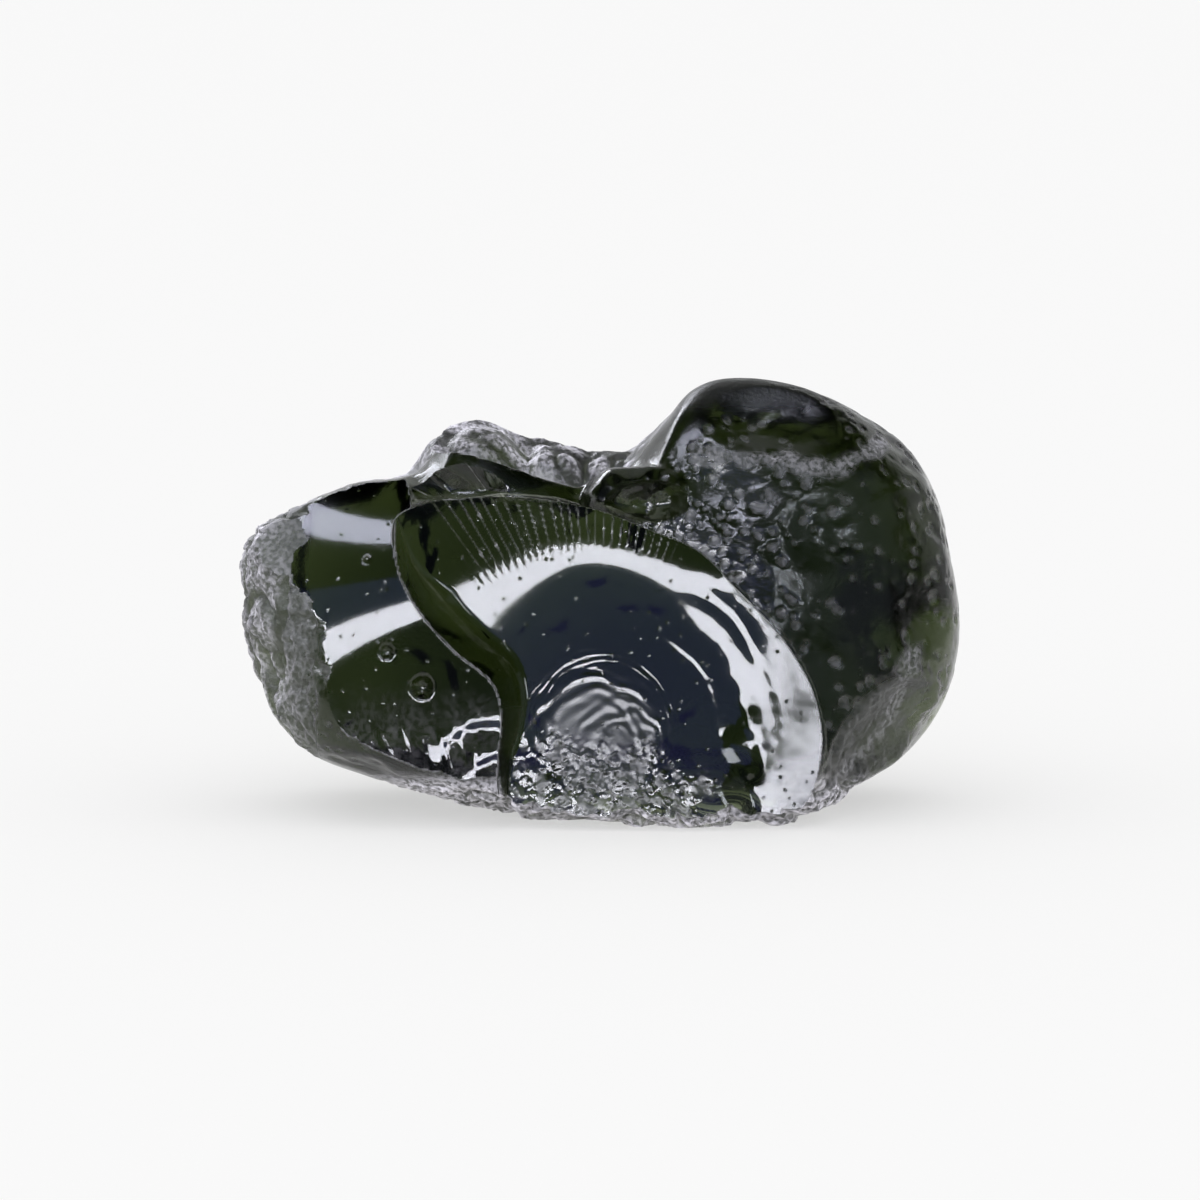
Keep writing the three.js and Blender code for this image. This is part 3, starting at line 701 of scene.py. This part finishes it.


# how dull and how dusty each point is, on the skin, on hackles and crushed glass, and along sharp edges; the
# dust also paints light: pale highlight lines along the sharp rims and the ledge, and painted shade in the
# creases
def wear(points, edged, floors, creases):
    w, dull, dustAndPaintedLightWeights = weathering, weathering["frost"], weathering["dustAndPaintedLight"]
    x, y, z = points.T
    left, below, lowerRight, knobs = dullParts(points)
    broken = np.abs(y - mainFloor(x, z)) < w["touch"]
    onFacet = np.abs(y - leftFloor(x, z)) < w["touch"]
    fresh = broken | (onFacet & (uneven(x, x, z, w["facetEnd"]["uneven"]) > w["facetEnd"]["at"]))

    number, rise = hackleLines(x, z)
    lines = rise * smooth(*w["hackleEdge"], np.abs(number % 1 - 0.5))
    patches = noise(x, z, w["crushedPatches"]["size"], seed=9)
    crushed = crushedShare(x, z) * smooth(*w["crushedPatches"]["fade"], patches)
    tail = dull["tail"] * smooth(*w["tail"]["rise"], bladeRise(x, z)) * smooth(*w["tail"]["fade"], -z)
    flaked = dull["flaked"] * smooth(*mainFracture["flaked"]["between"], x)
    hazed = dull["blow"] * (1 - smooth(*w["blow"], roundBlow(x, z)[0]))
    onBreak = np.where(broken, np.maximum.reduce([lines, dull["crushed"] * crushed, tail, flaked, hazed]), 0)

    # worn ridges in the skin; the pale band along the ledge is partly a painted highlight
    worn = np.zeros(len(points))
    for edge in w["wornEdges"]:
        line = curveThrough(edge, lineSteps, closed=False)
        away = uneven(nearCurve(x, z, line)[0], x, z, w["wornUneven"])
        worn = np.maximum(worn, (1 - smooth(0, w["wornWidth"], away)) * (y < 0))
    peak = smooth(*w["peak"], z)
    onSkin = np.maximum.reduce([
        left, below, dull["lowerRight"] * lowerRight, dull["knobs"] * knobs, worn,
        dull["floors"] * floors, dull["peak"] * peak,
    ])

    mottle = w["mottledWithCreaseShade"]
    mottledWithCreaseShade = 1 + mottle["much"] * noise3(points, mottle["coarse"], seed=13)
    mottledWithCreaseShade = mottledWithCreaseShade + mottle["much"] * noise3(points, mottle["fine"], seed=15)
    # painted shade: the creases lose their dust, so they look dark
    mottledWithCreaseShade *= 1 - mottle["creases"] * smooth(*mottle["creaseShadeFade"], creases)
    strip = left * (1 - w["strip"]["less"] * smooth(*w["strip"]["between"], x))
    skinDustAndPaintedLight = np.maximum.reduce([
        dustAndPaintedLightWeights["strip"] * strip * mottledWithCreaseShade, below * (dustAndPaintedLightWeights["below"] + dustAndPaintedLightWeights["below"] * mottledWithCreaseShade),
        dustAndPaintedLightWeights["lowerRight"] * lowerRight, dustAndPaintedLightWeights["knobs"] * knobs * mottledWithCreaseShade,
        dustAndPaintedLightWeights["worn"] * worn, dustAndPaintedLightWeights["floors"] * floors,
    ])
    lined = w["streaks"]["even"] + w["streaks"]["change"] * streaks(x, z, leftFacet["streaked"]["coarse"])
    streaky = lined * smooth(*w["streaks"]["fade"], -z)
    frost = np.where(fresh, onBreak, onSkin)
    dustAndPaintedLight = np.where(fresh, np.where(broken, 0, dustAndPaintedLightWeights["streaks"] * streaky), skinDustAndPaintedLight)
    # sharp rims of the breaks are rough and pale: partly chipped wear, partly a painted highlight line along
    # the edges
    chippedAndHighlightedRims = edged & fresh
    return np.where(chippedAndHighlightedRims, dull["chippedAndHighlightedRims"], frost), np.where(chippedAndHighlightedRims, dustAndPaintedLightWeights["chippedAndHighlightedRims"], dustAndPaintedLight)


sharpAngle = math.radians(40)


def makeStone():
    stone = makeSkin()
    faceOut(stone)
    markFaces(stone, 0)
    print("skin", len(stone.data.polygons))
    for name, fracture, floorOf in (
        ("left facet", leftFacet, leftFloor), ("main fracture", mainFracture, mainFloor),
    ):
        cutter = makeCutter(name, fracture, floorOf)
        markFaces(cutter, 1)
        stone = combine(stone, cutter, "DIFFERENCE")
        print(name, len(stone.data.polygons))
    for tool in (makeCup(), makeGround()):
        markFaces(tool, 0)
        stone = combine(stone, tool, "DIFFERENCE")
    mesh = stone.data
    points = readValues(mesh.vertices, "co", 3, float).reshape(-1, 3)
    mesh.vertices.foreach_set("co", inFrame(points).ravel())
    mesh.shade_smooth()
    mesh.set_sharp_from_angle(angle=sharpAngle)
    sharp = readValues(mesh.attributes["sharp_edge"].data, "value", 1, bool)
    ends = readValues(mesh.edges, "vertices", 2, np.int32).reshape(-1, 2)
    edged = np.zeros(len(points), bool)
    edged[ends[sharp].ravel()] = True
    floors, creases = (
        readValues(mesh.attributes[name].data, "value", 1, np.float32) for name in ("floors", "creases")
    )
    frost, dustAndPaintedLight = wear(points, edged, floors, creases)
    addValues(mesh, "frost", frost)
    addValues(mesh, "dustAndPaintedLight", dustAndPaintedLight)
    fresh = readValues(mesh.attributes["fresh"].data, "value", 1, np.float32)
    print("fresh faces", int(fresh.sum()), "of", len(fresh))
    mesh.materials.clear()
    mesh.update()
    print("stone", len(mesh.polygons), "faces")
    stone.name = "moldavite_glass"
    return stone


glass = {
    "ior": 1.49,
    "absorb": (0.375, 0.435, 0.22),
    "density": 650.0,  # per metre
    "freshRoughness": 0.07,
    "skinRoughness": (0.09, 0.26),  # etched skin, from its smoothest to its dullest patches
    "patches": {"size": 1.6, "detail": 2},  # mm
    "frostRoughness": 0.5,  # dull patches of the skin, and the crushed and hackled places in the break
    "dustAndPaintedLight": (0.0, 0.8),  # sheen of the skin, from its clean to its dusty parts; it also carries the painted highlight lines and the painted crease shade
    "dustRoughness": 0.85,
    "dustTint": (0.97, 0.94, 1.0),
    "speckle": {"size": 0.2, "detail": 4, "span": (0.4, 0.6), "dustAndPaintedLight": (0.25, 1.6)},  # breaks up the dust
    "grain": {"size": 0.2, "detail": 3, "height": (0.014, 0.04)},  # etching on clear and on dull skin, mm
    "bubbles": {"size": 0.55, "radius": 0.09, "height": 0.03},  # tiny open bubbles in the fresh faces, mm
}


def makeGlass():
    material = bpy.data.materials.new("moldaviteGlass")
    material.use_nodes = True
    nodes, links = material.node_tree.nodes, material.node_tree.links
    shader = nodes["Principled BSDF"]
    shader.inputs["Base Color"].default_value = (1, 1, 1, 1)
    shader.inputs["Transmission Weight"].default_value = 1.0
    shader.inputs["IOR"].default_value = glass["ior"]
    shader.inputs["Sheen Roughness"].default_value = glass["dustRoughness"]
    shader.inputs["Sheen Tint"].default_value = (*glass["dustTint"], 1)
    place = nodes.new("ShaderNodeTexCoord").outputs["Object"]

    def marked(name):
        made = nodes.new("ShaderNodeAttribute")
        made.attribute_name = name
        return made.outputs["Fac"]

    def multiply(a, b):
        made = nodes.new("ShaderNodeMath")
        made.operation = "MULTIPLY"
        links.new(a, made.inputs[0])
        links.new(b, made.inputs[1])
        return made.outputs[0]

    # goes from a to b, which are numbers or sockets, while the value goes over the span
    def blend(value, a, b, span=(0, 1)):
        made = nodes.new("ShaderNodeMapRange")
        links.new(value, made.inputs["Value"])
        for socket, given in zip(("From Min", "From Max", "To Min", "To Max"), (*span, a, b)):
            if isinstance(given, (int, float)):
                made.inputs[socket].default_value = given
            else:
                links.new(given, made.inputs[socket])
        return made.outputs["Result"]

    def lumps(pattern):
        made = nodes.new("ShaderNodeTexNoise")
        links.new(place, made.inputs["Vector"])
        made.inputs["Scale"].default_value = 1 / (pattern["size"] * mm)
        made.inputs["Detail"].default_value = pattern["detail"]
        return made.outputs["Fac"]

    fresh, frost, dustAndPaintedLight = (marked(name) for name in ("fresh", "frost", "dustAndPaintedLight"))
    skin = blend(lumps(glass["patches"]), *glass["skinRoughness"])
    smoothest = blend(fresh, skin, glass["freshRoughness"])
    links.new(blend(frost, smoothest, glass["frostRoughness"]), shader.inputs["Roughness"])
    speckle = blend(lumps(glass["speckle"]), *glass["speckle"]["dustAndPaintedLight"], span=glass["speckle"]["span"])
    # the sheen weight is the dust, and also the painted highlight lines and the painted crease shade
    links.new(multiply(blend(dustAndPaintedLight, *glass["dustAndPaintedLight"]), speckle), shader.inputs["Sheen Weight"])

    clear, dull = (height * mm for height in glass["grain"]["height"])
    grain = multiply(lumps(glass["grain"]), blend(frost, clear, dull))
    bubbles = glass["bubbles"]
    cells = nodes.new("ShaderNodeTexVoronoi")
    links.new(place, cells.inputs["Vector"])
    cells.inputs["Scale"].default_value = 1 / (bubbles["size"] * mm)
    rim = bubbles["radius"] / bubbles["size"]
    dent = blend(cells.outputs["Distance"], -bubbles["height"] * mm, 0, span=(0, rim))
    bump = nodes.new("ShaderNodeBump")
    bump.inputs["Distance"].default_value = 1
    links.new(blend(fresh, grain, dent), bump.inputs["Height"])
    links.new(bump.outputs["Normal"], shader.inputs["Normal"])

    volume = nodes.new("ShaderNodeVolumeAbsorption")
    volume.inputs["Color"].default_value = (*glass["absorb"], 1)
    volume.inputs["Density"].default_value = glass["density"]
    links.new(volume.outputs["Volume"], nodes["Material Output"].inputs["Volume"])
    print("glass ready")
    return material


cardWhite = (0.97, 0.98, 1.0)

studio = {
    "floor": {"size": 2.4, "colour": (0.46, 0.46, 0.46), "glow": 0.5, "roughness": 0.9, "specular": 0.1},
    "sky": 1.0,
    "distance": 0.6,
    "boxes": {  # softboxes and cards by the degrees they span from the stone: left of the camera is minus
        "front strip": {"turn": (-55, 9), "lift": (20, 32), "radiance": 20, "colour": (0.9, 0.91, 1.0)},
        "upper left": {"turn": (-55, 14), "lift": (60, 69), "radiance": 12, "colour": (0.8, 0.82, 1.0)},
        "right strip": {"turn": (28, 38), "lift": (34, 44), "radiance": 9, "colour": (0.85, 0.9, 1.0)},
        "room": {"turn": (-70, 70), "lift": (-2, 75), "radiance": 0.07, "colour": (0.6, 0.8, 1.0)},
        "blue cloth": {"turn": (-60, 30), "lift": (32, 46), "radiance": 0.62, "colour": (0.25, 0.27, 1.0)},
        "left card": {"turn": (-140, -80), "lift": (-4, 26), "radiance": 1.7, "colour": (0.95, 0.96, 1.0)},
        "back card": {"turn": (140, 220), "lift": (-4, 40), "radiance": 0.7, "colour": cardWhite},
        "back strip": {"turn": (195, 240), "lift": (26, 38), "radiance": 8, "colour": (0.9, 0.92, 1.0)},
        "back top": {"turn": (140, 220), "lift": (42, 75), "radiance": 0.35, "colour": cardWhite},
        "right fill": {"turn": (40, 90), "lift": (0, 45), "radiance": 0.22, "colour": (0.8, 0.9, 1.0)},
        "right card": {"turn": (100, 140), "lift": (-4, 30), "radiance": 0.4, "colour": cardWhite},
    },
}


def makeFloor():
    settings = studio["floor"]
    half = settings["size"] / 2
    corners = np.array([(-half, -half, 0), (half, -half, 0), (half, half, 0), (-half, half, 0)])
    floor = newObject("floor", corners, [(0, 1, 2, 3)])
    paper = bpy.data.materials.new("paleFloor")
    paper.use_nodes = True
    shader = paper.node_tree.nodes["Principled BSDF"]
    shader.inputs["Base Color"].default_value = (*settings["colour"], 1)
    shader.inputs["Roughness"].default_value = settings["roughness"]
    shader.inputs["Specular IOR Level"].default_value = settings["specular"]
    shader.inputs["Emission Color"].default_value = (1, 1, 1, 1)
    shader.inputs["Emission Strength"].default_value = settings["glow"]
    floor.data.materials.append(paper)
    return floor


def makeSoftbox(name, box, middle, lit):
    turns = [math.radians(angle) for angle in box["turn"]]
    lifts = [math.radians(angle) for angle in box["lift"]]
    turn, lift = sum(turns) / 2, sum(lifts) / 2
    toward = Vector((math.sin(turn) * math.cos(lift), -math.cos(turn) * math.cos(lift), math.sin(lift)))
    distance = studio["distance"]
    lamp = bpy.data.lights.new(name, "AREA")
    lamp.shape = "RECTANGLE"
    lamp.size = 2 * distance * math.tan((turns[1] - turns[0]) / 2) * math.cos(lift)
    lamp.size_y = 2 * distance * math.tan((lifts[1] - lifts[0]) / 2)
    lamp.energy = box["radiance"] * math.pi * lamp.size * lamp.size_y
    lamp.color = box["colour"]
    holder = bpy.data.objects.new(name, lamp)
    holder.location = middle + toward * distance
    holder.rotation_euler = toward.to_track_quat("Z", "Y").to_euler()
    holder.light_linking.receiver_collection = lit
    holder.visible_transmission = False
    bpy.context.scene.collection.objects.link(holder)


# the sky lights the floor and shines through the glass, and only the softboxes and cards are mirrored in it
def makeStudio(stone, middle):
    world = bpy.data.worlds.new("studio")
    bpy.context.scene.world = world
    world.use_nodes = True
    sky = world.node_tree.nodes["Background"]
    sky.inputs["Color"].default_value = (1, 1, 1, 1)
    sky.inputs["Strength"].default_value = studio["sky"]
    world.cycles_visibility.glossy = False
    floor = makeFloor()
    lit = bpy.data.collections.new("lit by the softboxes")
    lit.objects.link(stone)
    for name, box in studio["boxes"].items():
        makeSoftbox(name, box, middle, lit)
    print("studio with", len(studio["boxes"]), "softboxes and cards")


view = {
    "elevation": math.radians(8),
    "width": 0.05,  # metres across the picture at the stone
    "distance": 0.42,
    "sensor": 36,
    "clip": (0.01, 10),
    "picture": 1200,  # pixels each way
    "stoneAt": (599.5, 590.8),  # where the middle of the stone's box is in it
}


def makeCamera(middle):
    lens = bpy.data.cameras.new("camera")
    lens.sensor_width = view["sensor"]
    lens.lens = view["sensor"] * view["distance"] / view["width"]
    lens.clip_start, lens.clip_end = view["clip"]
    toward = Vector((0, -math.cos(view["elevation"]), math.sin(view["elevation"])))
    camera = bpy.data.objects.new("camera", lens)
    camera.location = middle + toward * view["distance"]
    camera.rotation_euler = toward.to_track_quat("Z", "Y").to_euler()
    lens.shift_x = (view["picture"] / 2 - view["stoneAt"][0]) / view["picture"]
    lens.shift_y = (view["stoneAt"][1] - view["picture"] / 2) / view["picture"]
    bpy.context.scene.collection.objects.link(camera)
    bpy.context.scene.camera = camera
    bpy.context.scene.view_settings.view_transform = "Standard"


stone = makeStone()
stone.data.materials.append(makeGlass())
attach(stone, "root")
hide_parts("moldavite")
middle = (Vector(cadBox[0]) + Vector(cadBox[1])) / 2
makeStudio(stone, middle)
makeCamera(middle)
print("pieces ready")
